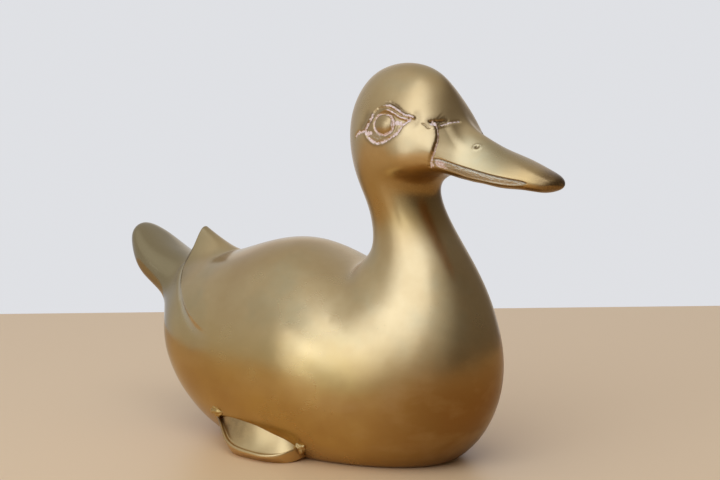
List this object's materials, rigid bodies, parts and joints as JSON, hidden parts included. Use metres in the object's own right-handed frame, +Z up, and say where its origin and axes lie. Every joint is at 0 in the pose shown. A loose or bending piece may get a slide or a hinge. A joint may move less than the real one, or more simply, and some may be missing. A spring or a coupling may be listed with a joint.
{
  "type": "duck figurine",
  "caption": "Hollow cast bronze duck sitting with raised head and upturned tail, feet brazed under its flanks, flat underside.",
  "frame": {"origin": "on the table, in the duck's middle plane and near the middle of its length, on the flat underside of the belly plate", "axes": "+X to the bill, +Y to the duck's left, +Z up"},
  "size_m": [0.2334, 0.0998, 0.1701],
  "materials": {
    "cast_bronze": "satin polished cast bronze, with fine brush marks",
    "foot_bronze": "bright polished cast bronze",
    "braze_metal": "rough brazing metal",
    "plate_brass": "brushed sheet brass, dulled"
  },
  "bodies": {
    "root": {"body_casting": "cast_bronze", "head_casting": "cast_bronze", "neck_braze": "braze_metal", "belly_plate": "plate_brass", "belly_braze": "braze_metal", "left_foot": "foot_bronze", "right_foot": "foot_bronze", "left_toe_braze": "braze_metal", "right_toe_braze": "braze_metal", "left_heel_braze": "braze_metal", "right_heel_braze": "braze_metal"}
  },
  "joints": []
}
